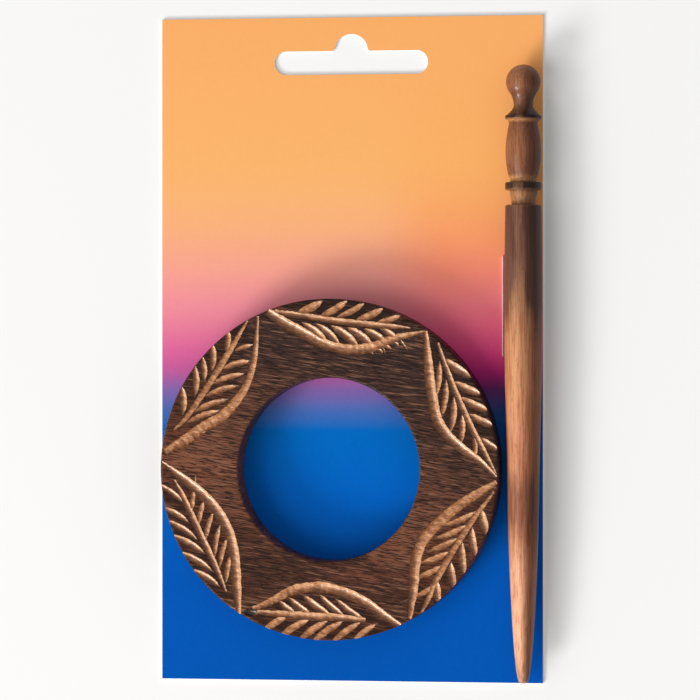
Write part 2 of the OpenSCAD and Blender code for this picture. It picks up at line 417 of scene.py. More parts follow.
@dataclass(frozen=True)
class CutHardwood(Finish):
    """The same hardwood where the gouge has opened it, under a thin gloss lacquer.

    To the eye it is golden, with light and shade painted on: almost cream on the walls that face the lamps
    and brown on those that face away, with fine fibres, and flecks of the dark stain along the rims that also
    paint a thin line of shade there.
    """

    top: float
    knot: Knot
    turn: float = -9.0
    name: str = "cut_hardwood"
    patch_size: Row = (1.6, 0.7, 0.7)
    fibre_size: Row = (2.0, 0.15, 0.25)
    fleck_size: Row = (0.8, 0.4, 0.4)
    # The ramp runs from the walls that face the lamps, painted in light, to those that face away, painted in
    # shade.
    walls: Stops = (
        (0.0, "#FFD0A4"), (0.25, "#F2BA88"), (0.45, "#D09262"), (0.62, "#A86E40"), (0.85, "#784A2C"),
        (1.0, "#683F28"),
    )
    fuzz: str = "#B49478"
    stain: str = "#3A271D"
    stain_and_shade_depth: float = 0.4 * MM

    def material(self) -> Material:
        """Build the material.

        Returns:
            The material.
        """
        material, tree, shader = self.start()
        # The walls' tone follows how far each one faces away from the lamps: painted light and shade.
        facing_away = add(tree, "ShaderNodeAttribute", attribute_name="away_from_lamps").outputs["Fac"]
        patch = self.pattern(tree, self.patch_size, 0.3, 0.7, (-0.25, 0.25), self.turn)
        side = add(tree, "ShaderNodeMath", {0: facing_away, 1: patch}, operation="ADD")
        share = add(tree, "ShaderNodeMapRange", {"Value": side, "From Min": -0.9, "From Max": 0.9})
        tone = add(tree, "ShaderNodeValToRGB", {"Fac": share}, self.walls)
        # Real fibres are about 0.02 mm wide and would be lost, so they are drawn 0.15 mm wide.
        fibre = self.pattern(tree, self.fibre_size, 0.4, 0.65, (0.0, 0.8), self.turn)
        fuzzy = {0: fibre, 6: tone, 7: linear(self.fuzz)}
        tone = add(tree, "ShaderNodeMix", fuzzy, data_type="RGBA", blend_type="MULTIPLY")
        place = add(tree, "ShaderNodeTexCoord").outputs["Object"]
        height = add(tree, "ShaderNodeSeparateXYZ", {0: place}).outputs["Z"]
        # Flecks of the dark stain lie along the rims, and their band is widened into a thin line of painted
        # shade at the groove edges.
        lowest = self.top - self.stain_and_shade_depth
        limits = {"Value": height, "From Min": lowest, "From Max": self.top, "To Max": 0.34}
        rim = add(tree, "ShaderNodeMapRange", limits, interpolation_type="SMOOTHSTEP")
        where = self.grain(tree, self.fleck_size, self.turn)
        fleck = add(tree, "ShaderNodeTexNoise", {"Vector": where, "Scale": 1.0, "Detail": 3.0})
        left = add(tree, "ShaderNodeMath", {0: fleck, 1: rim}, operation="ADD")
        limits = {"Value": left, "From Min": 0.68, "From Max": 0.8, "To Max": 0.8}
        stained = add(tree, "ShaderNodeMapRange", limits, interpolation_type="SMOOTHSTEP")
        tone = add(tree, "ShaderNodeMix", {0: stained, 6: tone, 7: linear(self.stain)}, data_type="RGBA")
        tone = self.knotted(tree, tone, self.knot)
        rough = add(tree, "ShaderNodeMapRange", {"Value": fibre, "To Min": 0.3, "To Max": 0.45})
        fine = add(tree, "ShaderNodeBump", {"Height": fibre, "Distance": 0.006 * MM})
        lumpy = add(tree, "ShaderNodeBump", {"Height": fleck, "Distance": 0.04 * MM, "Normal": fine})
        feed(tree, shader, {"Base Color": tone, "Roughness": rough, "Normal": lumpy})
        feed(tree, shader, {"IOR": 1.5, "Coat Weight": 0.6, "Coat Roughness": 0.14})
        return material


@dataclass(frozen=True)
class TurnedHardwood(Finish):
    """Turned hardwood under a satin lacquer, dark at the head and pale gold along the shaft.

    To the eye the head is reddish brown, with almost black collars and golden necks between. The shaft starts
    dark, with one golden streak that widens downward, and below it is light golden brown with a darker band.
    The side away from the card's middle and from the lamps is painted darker all the way down, as painted
    shade.
    """

    axis: Vector
    length: float
    name: str = "turned_hardwood"
    drift_size: Row = (1.3, 9.0, 1.3)
    figure_size: Row = (0.28, 9.0, 0.28)
    pore_size: Row = (0.22, 1.6, 0.22)
    streak_sway: float = 2.6 * MM
    streak_aside: float = 0.5 * MM
    streak_start_r: float = 0.9 * MM
    streak_full_r: float = 2.4 * MM
    shaft_r: float = 3.95 * MM
    shaft_end_r: float = 1.3 * MM
    pore: str = "#3A2218"
    gold: str = "#DC9C6E"
    painted_shade: str = "#7C6458"
    figure: str = "#DCC8BC"
    tones: Stops = (
        (0.0, "#A46E4A"), (0.035, "#945E40"), (0.048, "#6E4430"), (0.0795, "#5A3A2A"),
        (0.0815, "#38221A"), (0.0885, "#38221A"), (0.0895, "#C08A58"), (0.0915, "#B8845A"),
        (0.0935, "#88553A"), (0.135, "#9A6242"), (0.178, "#80503A"), (0.1835, "#C8945E"),
        (0.189, "#C8945E"), (0.1905, "#3E2820"), (0.202, "#3E2820"), (0.2045, "#B07E54"),
        (0.2255, "#A8764C"), (0.228, "#603F34"), (0.3, "#6A483A"), (0.395, "#7A543F"),
        (0.45, "#C88A62"), (0.52, "#E29A70"), (0.645, "#DA946C"), (0.69, "#A66C50"), (0.735, "#A66C50"),
        (0.77, "#D2916A"), (0.81, "#F4B48C"), (0.93, "#FFBE94"), (1.0, "#C69270"),
    )

    def streak(self, tree: Tree, apart: Node, down: Node, drift: Node) -> Node:
        """The share of gold in the streak that starts under the shoulder and widens down the shaft.

        Args:
            tree: the material's tree.
            apart: the way across the stick from its axis, in metres.
            down: the share of the way from the head to the tip.
            drift: noise about nought that roughens the streak's sides.

        Returns:
            The node that holds the share, nought outside the streak and up to 0.85 inside it.
        """
        swayed = {0: drift, 1: -self.streak_sway, 2: self.streak_aside}
        sway = add(tree, "ShaderNodeMath", swayed, operation="MULTIPLY_ADD")
        offset = add(tree, "ShaderNodeMath", {0: apart, 1: sway}, operation="ADD")
        away = add(tree, "ShaderNodeMath", {0: offset}, operation="ABSOLUTE")
        widens = {"Value": down, "From Min": 0.33, "From Max": 0.46}
        widens |= {"To Min": self.streak_start_r, "To Max": self.streak_full_r}
        reach = add(tree, "ShaderNodeMapRange", widens, interpolation_type="SMOOTHSTEP")
        share = add(tree, "ShaderNodeMath", {0: away, 1: reach}, operation="DIVIDE")
        fades = {"Value": share, "From Min": 0.6, "From Max": 1.5, "To Min": 0.85, "To Max": 0.0}
        inside = add(tree, "ShaderNodeMapRange", fades, interpolation_type="SMOOTHSTEP")
        begins = {"Value": down, "From Min": 0.29, "From Max": 0.47, "To Min": 0.18}
        starts = add(tree, "ShaderNodeMapRange", begins, interpolation_type="SMOOTHSTEP")
        # Farther down the whole shaft is as light as the streak, which is lost in it.
        merges = {"Value": down, "From Min": 0.5, "From Max": 0.62, "To Min": 1.0, "To Max": 0.0}
        ends = add(tree, "ShaderNodeMapRange", merges, interpolation_type="SMOOTHSTEP")
        shown = add(tree, "ShaderNodeMath", {0: starts, 1: ends}, operation="MULTIPLY")
        return add(tree, "ShaderNodeMath", {0: inside, 1: shown}, operation="MULTIPLY")

    def material(self) -> Material:
        """Build the material.

        Returns:
            The material.
        """
        material, tree, shader = self.start()
        place = add(tree, "ShaderNodeTexCoord").outputs["Object"]
        axes = add(tree, "ShaderNodeSeparateXYZ", {0: place}).outputs
        limits = {"Value": axes["Y"], "From Min": self.axis.y, "From Max": self.axis.y - self.length}
        down = add(tree, "ShaderNodeMapRange", limits)
        where = self.grain(tree, self.drift_size)
        noise = add(tree, "ShaderNodeTexNoise", {"Vector": where, "Scale": 1.0, "Detail": 3.0})
        drift = add(tree, "ShaderNodeMath", {0: noise, 1: 0.5}, operation="SUBTRACT")
        limits = {"Value": down, "From Min": 0.24, "From Max": 0.45, "To Max": 0.1}
        loose = add(tree, "ShaderNodeMapRange", limits, interpolation_type="SMOOTHSTEP")
        wander = add(tree, "ShaderNodeMath", {0: drift, 1: loose, 2: down}, operation="MULTIPLY_ADD")
        tone = add(tree, "ShaderNodeValToRGB", {"Fac": wander}, self.tones)
        apart = add(tree, "ShaderNodeMath", {0: axes["X"], 1: self.axis.x}, operation="SUBTRACT")
        golden = {0: self.streak(tree, apart, down, drift), 6: tone, 7: linear(self.gold)}
        tone = add(tree, "ShaderNodeMix", golden, data_type="RGBA")
        tapers = {"Value": down, "From Min": 0.4, "To Min": self.shaft_r, "To Max": self.shaft_end_r}
        reach = add(tree, "ShaderNodeMapRange", tapers, interpolation_type="SMOOTHSTEP")
        # The side away from the lamps is painted darker here: painted shade.
        side = add(tree, "ShaderNodeMath", {0: apart, 1: reach}, operation="DIVIDE")
        limits = {"Value": side, "From Min": -0.45, "From Max": 0.95, "To Max": 0.95}
        shady = add(tree, "ShaderNodeMapRange", limits, interpolation_type="SMOOTHSTEP")
        dark = {0: shady, 6: tone, 7: linear(self.painted_shade)}
        tone = add(tree, "ShaderNodeMix", dark, data_type="RGBA", blend_type="MULTIPLY")
        figure = self.pattern(tree, self.figure_size, 0.42, 0.66, detail=4.0)
        lined = {0: figure, 6: tone, 7: linear(self.figure)}
        tone = add(tree, "ShaderNodeMix", lined, data_type="RGBA", blend_type="MULTIPLY")
        # Real pores are about 0.1 mm wide and would be lost, so they are drawn 0.22 mm wide.
        pores = self.pattern(tree, self.pore_size, 0.58, 0.72, (0.0, 0.35), detail=2.0)
        tone = add(tree, "ShaderNodeMix", {0: pores, 6: tone, 7: linear(self.pore)}, data_type="RGBA")
        rough = add(tree, "ShaderNodeMapRange", {"Value": figure, "To Min": 0.44, "To Max": 0.36})
        sunk = add(tree, "ShaderNodeMath", {0: 1.0, 1: pores}, operation="SUBTRACT")
        fine = add(tree, "ShaderNodeBump", {"Height": sunk, "Distance": 0.012 * MM})
        feed(tree, shader, {"Base Color": tone, "Roughness": rough, "Normal": fine})
        constants = {"IOR": 1.5, "Specular IOR Level": 0.12, "Coat Weight": 0.25, "Coat Roughness": 0.13}
        feed(tree, shader, constants)
        return material


@dataclass(frozen=True)
class PrintedBoard(Finish):
    """Coated board, offset printed and varnished to a satin gloss.

    To the eye it is one smooth wash of colour from orange through pink and violet to a clear blue, a little
    deeper toward the right, which partly paints the shade there, with no sheen of its own until it catches
    the light.
    """

    foot: float
    head: float
    name: str = "printed_board"
    ink_size: Row = (0.8, 0.8, 0.8)
    felt_size: Row = (0.5, 0.35, 0.35)
    deeper_from: float = 2.0 * MM
    deepest_from: float = 21.0 * MM
    wash: Stops = (
        (0.0, "#0056B5"), (0.16, "#0059BC"), (0.27, "#0065C9"), (0.378, "#006CC6"), (0.408, "#4D70BC"),
        (0.439, "#8C6AB2"), (0.469, "#CC619F"), (0.499, "#E66A9F"), (0.559, "#F68F9E"), (0.619, "#FCA592"),
        (0.68, "#FEB27F"), (0.725, "#FEB676"), (0.778, "#FFB66D"), (1.0, "#FEB068"),
    )
    right_wash: Stops = (
        (0.0, "#0056B5"), (0.16, "#0059BC"), (0.27, "#0063C5"), (0.378, "#0064B8"), (0.408, "#3A5AA6"),
        (0.44, "#763478"), (0.464, "#C02D82"), (0.497, "#E94C8A"), (0.534, "#F56B8C"), (0.572, "#F78085"),
        (0.617, "#FC8E75"), (0.662, "#FE9C6A"), (0.725, "#FEAC67"), (0.778, "#FFB368"), (1.0, "#FEB068"),
    )

    def material(self) -> Material:
        """Build the material.

        Returns:
            The material.
        """
        material, tree, shader = self.start()
        place = add(tree, "ShaderNodeTexCoord").outputs["Object"]
        axes = add(tree, "ShaderNodeSeparateXYZ", {0: place}).outputs
        limits = {"Value": axes["Y"], "From Min": self.foot, "From Max": self.head}
        share = add(tree, "ShaderNodeMapRange", limits)
        # Toward the right side the print is drawn deeper and nearer to crimson, which partly paints the deep
        # shade beside the ring.
        across = {"Value": axes["X"], "From Min": self.deeper_from, "From Max": self.deepest_from}
        side = add(tree, "ShaderNodeMapRange", across, interpolation_type="SMOOTHSTEP")
        wash = add(tree, "ShaderNodeValToRGB", {"Fac": share}, self.wash)
        deeper = add(tree, "ShaderNodeValToRGB", {"Fac": share}, self.right_wash)
        wash = add(tree, "ShaderNodeMix", {0: side, 6: wash, 7: deeper}, data_type="RGBA")
        # The print's own dots are 0.15 mm apart and don't show, so the ink only varies softly over 0.8 mm.
        ink = self.pattern(tree, self.ink_size, 0.3, 0.7, (0.0, 0.05))
        mottled = {0: ink, 6: wash, 7: linear("#FFFFFF")}
        wash = add(tree, "ShaderNodeMix", mottled, data_type="RGBA", blend_type="SOFT_LIGHT")
        felt = self.pattern(tree, self.felt_size, 0.3, 0.7)
        rough = add(tree, "ShaderNodeMapRange", {"Value": felt, "To Min": 0.42, "To Max": 0.48})
        fine = add(tree, "ShaderNodeBump", {"Height": felt, "Distance": 0.0025 * MM})
        feed(tree, shader, {"Base Color": wash, "Roughness": rough, "Normal": fine})
        feed(tree, shader, {"IOR": 1.5, "Specular IOR Level": 0.03})
        return material


@dataclass(frozen=True)
class RawBoard(Finish):
    """The board's unprinted fibre, at its cut edges and its back.

    To the eye it is a matt off-white with faint grey fibres.
    """

    name: str = "raw_board"
    felt_size: Row = (1.4, 0.3, 0.1)
    felt_turn: float = 20.0
    pale: str = "#F1EEE8"
    fibre: str = "#D9D4CA"

    def material(self) -> Material:
        """Build the material.

        Returns:
            The material.
        """
        material, tree, shader = self.start()
        felt = self.pattern(tree, self.felt_size, 0.45, 0.75, turn=self.felt_turn, detail=4.0)
        tone = {0: felt, 6: linear(self.pale), 7: linear(self.fibre)}
        mixed = add(tree, "ShaderNodeMix", tone, data_type="RGBA")
        fine = add(tree, "ShaderNodeBump", {"Height": felt, "Distance": 0.006 * MM})
        feed(tree, shader, {"Base Color": mixed, "Normal": fine})
        feed(tree, shader, {"Roughness": 0.85, "Specular IOR Level": 0.2})
        return material


@dataclass(frozen=True)
class AdhesiveFilm(Finish):
    """Clear double-sided film with an opaque pink edge.

    To the eye it hardly shows on the card, apart from its edge, which is one thin pale line.
    """

    middle_x: float
    half_width: float
    name: str = "adhesive_film"
    haze_size: Row = (1.2, 4.0, 1.2)
    edge_from: float = 0.3 * MM
    edge_to: float = 0.15 * MM
    clear: str = "#FFD2D0"
    cloud: str = "#F8B8BC"

    def material(self) -> Material:
        """Build the material.

        Returns:
            The material.
        """
        material, tree, shader = self.start()
        haze = self.pattern(tree, self.haze_size, 0.35, 0.7)
        hazy = {0: haze, 6: linear(self.clear), 7: linear(self.cloud)}
        tone = add(tree, "ShaderNodeMix", hazy, data_type="RGBA")
        rough = add(tree, "ShaderNodeMapRange", {"Value": haze, "To Min": 0.06, "To Max": 0.14})
        place = add(tree, "ShaderNodeTexCoord").outputs["Object"]
        across = add(tree, "ShaderNodeSeparateXYZ", {0: place}).outputs["X"]
        apart = add(tree, "ShaderNodeMath", {0: across, 1: self.middle_x}, operation="SUBTRACT")
        away = add(tree, "ShaderNodeMath", {0: apart}, operation="ABSOLUTE")
        inner, outer = self.half_width - self.edge_from, self.half_width - self.edge_to
        limits = {"Value": away, "From Min": inner, "From Max": outer, "To Min": 0.92, "To Max": 0.0}
        through = add(tree, "ShaderNodeMapRange", limits, interpolation_type="SMOOTHSTEP")
        fine = add(tree, "ShaderNodeBump", {"Height": haze, "Distance": 0.0035 * MM})
        look = {"Base Color": tone, "Roughness": rough, "Transmission Weight": through, "Normal": fine}
        feed(tree, shader, look)
        feed(tree, shader, {"IOR": 1.46})
        return material


@dataclass(frozen=True)
class PaleFloor(Finish):
    """Smooth matt studio floor, almost white."""

    name: str = "pale_floor"
    cloud_size: Row = (60.0, 60.0, 60.0)
    white: str = "#FBFAF9"
    mottle: str = "#E8E6E2"

    def material(self) -> Material:
        """Build the material.

        Returns:
            The material.
        """
        material, tree, shader = self.start()
        cloud = self.pattern(tree, self.cloud_size, 0.3, 0.7, (0.0, 0.02), detail=2.0)
        cloudy = {0: cloud, 6: linear(self.white), 7: linear(self.mottle)}
        tone = add(tree, "ShaderNodeMix", cloudy, data_type="RGBA")
        feed(tree, shader, {"Base Color": tone})
        feed(tree, shader, {"Roughness": 0.8, "Specular IOR Level": 0.1})
        return material


class Piece:
    """What every piece shares: the solid that it stands for and the finish slot that it fills."""

    node = ""
    slot = ""

    def hand_over(self, piece: Thing) -> Thing:
        """Let a finished piece ride on the frame in place of its solid.

        Args:
            piece: the finished piece, at the origin.

        Returns:
            The same piece.
        """
        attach(piece, BODY)
        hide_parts(self.node)
        return piece


class Cut(Enum):
    """The strokes that carve a leaf."""

    EDGE = "edge"
    RIB = "rib"
    VEIN = "vein"
    TEAR = "tear"


# How far a vein's fine ends run past its charted ends, in millimetres.
OVERRUN = 0.5
# How much wider than its chart each stroke is cut, which makes up for its thin dark rims.
FULLNESS = {Cut.EDGE: 1.1, Cut.RIB: 1.12, Cut.VEIN: 1.18, Cut.TEAR: 1.0}
# A stretch along a leaf that lies off its end, so that nothing of it is torn.
NOWHERE = (99.0, 99.0)


@dataclass(frozen=True)
class Stroke:
    """One pull of the gouge.

    The points are (along, out) in a leaf's own plane, in millimetres: along runs clockwise round the ring
    from the leaf's middle, and out runs away from the ring's middle. There is one width for each point.
    """

    cut: Cut
    points: tuple[Point, ...]
    widths: tuple[float, ...]
    torn: Point = NOWHERE


@dataclass(frozen=True)
class Leaf:
    """One carved leaf, charted in millimetres.

    turn is where its middle sits round the ring, in degrees from +X. edge and rib hold (along, out, width),
    and each vein and tear is (foot along, foot out, tip along, tip out, width). torn is the part of the edge
    with rough fibres, bow is how far a vein bends for its length, and past_rim is how far an outer vein runs
    on.
    """

    turn: float
    edge: tuple[Row, ...]
    rib: tuple[Row, ...]
    outer: tuple[Vein, ...]
    inner: tuple[Vein, ...]
    tears: tuple[Vein, ...] = ()
    torn: Point = NOWHERE
    bow: float = 0.05
    past_rim: float = 1.3

    def strokes(self) -> Iterable[Stroke]:
        """Each stroke of the leaf in turn.

        Yields:
            The edge, the rib, the outer and inner veins, and the tears.
        """
        yield self.long_stroke(Cut.EDGE, self.edge, self.torn)
        yield self.long_stroke(Cut.RIB, self.rib, NOWHERE)
        for row in self.outer:
            yield self.short_stroke(Cut.VEIN, row, -self.bow, OVERRUN, self.past_rim)
        for row in self.inner:
            yield self.short_stroke(Cut.VEIN, row, self.bow, OVERRUN, OVERRUN)
        for row in self.tears:
            yield self.short_stroke(Cut.TEAR, row, 0.0, OVERRUN, 0.0)

    def long_stroke(self, cut: Cut, rows: Sequence[Row], torn: Point) -> Stroke:
        """A stroke through charted (along, out, width) rows, torn over one stretch."""
        return Stroke(cut, tuple(row[:2] for row in rows), tuple(row[2] for row in rows), torn)

    def short_stroke(self, cut: Cut, row: Vein, bow: float, before: float, past: float) -> Stroke:
        """A stroke from a vein's foot to its tip, bowed to one side.

        Args:
            cut: the kind of stroke.
            row: the vein's charted foot, tip and width.
            bow: how far its middle bends aside, as a share of its length.
            before: how far it starts before the foot.
            past: how far it runs on past the tip.

        Returns:
            The stroke.
        """
        foot_along, foot_out, tip_along, tip_out, width = row
        run_along, run_out = tip_along - foot_along, tip_out - foot_out
        length = math.hypot(run_along, run_out)
        lead, trail = before / length, past / length
        points = (
            (foot_along - lead * run_along, foot_out - lead * run_out),
            (foot_along + run_along / 2 - bow * run_out, foot_out + run_out / 2 + bow * run_along),
            (tip_along + trail * run_along, tip_out + trail * run_out),
        )
        return Stroke(cut, points, (width,) * len(points))


LEAVES = (
    Leaf(
        turn=85.5,
        edge=(
            (-15.5, 32, 1.5), (-12, 30, 2), (-8, 28.3, 2), (-4, 26.5, 2), (0, 25.5, 1.9),
            (4, 25.5, 2), (8, 26.6, 1.8), (12, 28.5, 1.5), (18, 30.4, 0.4),
        ),
        rib=(
            (-14, 32.1, 0.8), (-8, 31.7, 1.1), (-2, 31.2, 1.2), (4, 31, 1.2),
            (11, 30.9, 1), (15, 30.8, 0.3),
        ),
        outer=(
            (-9, 32.2, -4.3, 34.9, 1.5), (-4, 32, 1, 35.4, 1.3), (-0.5, 32, 4.8, 35.3, 1.1),
            (3.7, 31.8, 8.7, 34.4, 1.3), (8.2, 31.6, 12.5, 33.3, 1.1),
        ),
        tears=(
            (9, 26.9, 10.2, 25.1, 0.5), (13.2, 28, 14.7, 26.1, 0.6), (6, 25.8, 7.6, 24.8, 0.9),
            (8, 26.3, 9.6, 25.2, 0.9), (9.5, 27, 11.3, 26.2, 0.9), (11.5, 27.8, 13, 26.9, 0.8),
        ),
        torn=(4, 17),
        past_rim=0.4,
        inner=(
            (-7.7, 30, -2.5, 26.5, 1.4), (-4.8, 30, 0, 26.5, 1.3), (-1.5, 29.8, 4, 26.3, 1.5),
            (1.8, 29.7, 7, 26.7, 1.5), (5.5, 29.7, 9.8, 27.5, 1.4), (9, 30, 12, 28.5, 1.2),
        ),
    ),
    Leaf(
        turn=25.5,
        edge=(
            (-17.3, 31, 0.8), (-12, 29, 1.6), (-8, 27.5, 1.9), (-4, 26.3, 2), (0, 25.3, 2),
            (4, 25.7, 1.9), (8, 27.3, 1.8), (12, 29.5, 1.4), (16.5, 31.3, 0.6),
        ),
        rib=((-14, 32.2, 0.6), (-5, 31.3, 1.1), (4, 31, 1.2), (10, 31.2, 1.1), (16, 31.5, 0.4)),
        outer=(
            (-10, 32.3, -5, 35.3, 1.6), (-5, 32, -1, 35.4, 1.5), (-1.5, 31.8, 2.7, 35.3, 1.5),
            (2.5, 32, 6, 34.9, 1.4), (8, 32, 11, 33.8, 1.2),
        ),
        past_rim=1,
        inner=(
            (-10, 30.7, -4, 26.7, 1.1), (-6, 30.3, 0, 26.4, 1.1), (-2, 30.2, 3.7, 26.7, 1.2),
            (2, 30.2, 6.7, 27.6, 1.1), (6.5, 30.8, 10.6, 29, 1),
        ),
    ),
    Leaf(
        turn=325.5,
        edge=(
            (-18, 30.5, 0.8), (-14, 28.7, 1.6), (-10, 27, 1.9), (-6, 25.8, 2), (-2, 25, 2),
            (2, 24.9, 2), (6, 26.3, 2), (10, 28.7, 1.8), (16, 31.8, 0.8),
        ),
        rib=(
            (-16, 31.2, 0.5), (-8, 30.9, 1.1), (0, 31.2, 1.2), (6, 31.7, 1.2),
            (10, 32.5, 1), (14.5, 33.2, 0.4),
        ),
        outer=(
            (-11.3, 31.5, -8, 35, 1.6), (-7, 32, -3, 35.5, 1.4), (-3.3, 32, 1.5, 35.8, 1.4),
            (1.5, 32.5, 5, 35.6, 1.4), (6.3, 32.3, 9.5, 34.8, 1.3),
        ),
        past_rim=0.8,
        inner=(
            (-10.2, 30.2, -4, 26.4, 1.1), (-6.8, 30.2, -1, 26.7, 1.1), (-3.5, 30.2, 2, 26.9, 1.1),
            (0, 30.3, 5, 27, 1.2), (3.3, 30.7, 8, 28, 1.1), (7.8, 31.7, 11.5, 30, 1),
        ),
        tears=((11.5, 30, 14.5, 28, 0.3),),
    ),
    Leaf(
        turn=265.5,
        edge=(
            (-18, 31.3, 0.8), (-14, 29.3, 1.6), (-10, 27, 1.9), (-6, 25.5, 2), (-2, 24.7, 2),
            (2, 24.9, 2), (6, 26, 1.8), (10, 28.6, 1.4), (14, 30.5, 0.8),
        ),
        rib=((-10.3, 30.7, 0.9), (-4, 30.6, 1.4), (0, 30.9, 1.6), (6, 31, 1.5), (13, 31, 0.8)),
        outer=(
            (-12.4, 31.5, -8.5, 35, 1.1), (-9, 31.5, -4.3, 35.5, 1.2), (-5.3, 31.6, 0, 36, 1.3),
            (-2, 31.8, 2.8, 35.8, 1.3), (1.7, 31.7, 7, 35.6, 1.3), (6.5, 31.6, 10.5, 34.5, 1.3),
        ),
        inner=(
            (-9.5, 30.3, -4, 27, 1.1), (-5.5, 30, -0.5, 26.5, 1.2), (-2.3, 29.9, 3, 26.8, 1.3),
            (1.7, 30.2, 6, 27.6, 1.2), (5, 30.3, 8, 28.5, 1.1),
        ),
        tears=(
            (12.9, 31.3, 15.4, 31.1, 1.5), (5, 25.6, 4.4, 24.6, 0.8), (7, 26.3, 6.2, 25.2, 0.9),
            (9, 27.6, 8.1, 26.5, 0.9), (11, 28.8, 10, 27.9, 0.8),
        ),
        torn=(-3, 16),
    ),
    Leaf(
        turn=205.5,
        edge=(
            (-19.5, 30.3, 0.8), (-14, 28.2, 1.8), (-8, 25.9, 2), (-4, 24.9, 2), (0, 24.8, 2),
            (4, 25.5, 2), (8, 27, 1.9), (12, 29, 1.5), (16.5, 31.4, 0.6),
        ),
        rib=((-14, 30.7, 0.5), (-8, 30.4, 1.1), (0, 30.4, 1.2), (8, 30.4, 1.1), (12, 30.6, 0.4)),
        outer=(
            (-12, 31.7, -7.5, 34.7, 1.2), (-8.5, 31.7, -3, 35.5, 1.2), (-4.5, 31.6, 1, 35.5, 1.2),
            (-1, 31.8, 4, 35, 1.1), (3, 31.9, 7, 34.7, 1.1), (7, 31, 12, 33.7, 1),
        ),
        inner=(
            (-12, 29.8, -7.5, 26.4, 1), (-8.5, 29.6, -4.2, 26, 1), (-6, 29.6, -1, 26, 1),
            (-2, 29.8, 2, 26.3, 1), (1.5, 29.8, 5, 27, 1), (5, 29.7, 8, 27.8, 1),
        ),
        tears=((9.5, 27, 11, 26, 0.5),),
    ),
    Leaf(
        turn=145.5,
        edge=(
            (-17, 30.8, 1.2), (-12, 28.5, 2), (-8, 27, 2), (-4, 25, 2), (0, 24.3, 1.8),
            (4, 24.2, 1.5), (8, 25.2, 1.3), (12, 27, 1.1), (18, 30.5, 0.5),
        ),
        rib=((-12, 31.8, 0.4), (-8, 31, 1), (0, 31, 1.2), (8, 31.3, 1.2), (16, 31.8, 0.5)),
        outer=(
            (-8, 32.2, -3.8, 35.1, 1.3), (-3.3, 32.2, 1.5, 35.4, 1.2), (0.5, 32.4, 4, 35.2, 1.1),
            (3.2, 32.3, 7.3, 34.8, 1.2), (8.2, 32, 11.5, 33.7, 1.1),
        ),
        inner=(
            (-9, 30.2, -3.3, 26.2, 1.1), (-6.2, 30.2, -0.3, 26.1, 1.1), (-2, 30, 3.2, 26, 1.1),
            (1, 30.3, 6, 26.4, 1.1), (4.7, 30.3, 9, 26.8, 1.1), (9.5, 30.2, 12, 28.3, 0.9),
        ),
        tears=(
            (-13, 28.3, -11.6, 27.2, 0.7), (-9.5, 27, -8.2, 25.9, 0.7), (-6, 25.6, -4.8, 24.6, 0.6),
        ),
        torn=(-15, -3),
        past_rim=0.6,
    ),
)


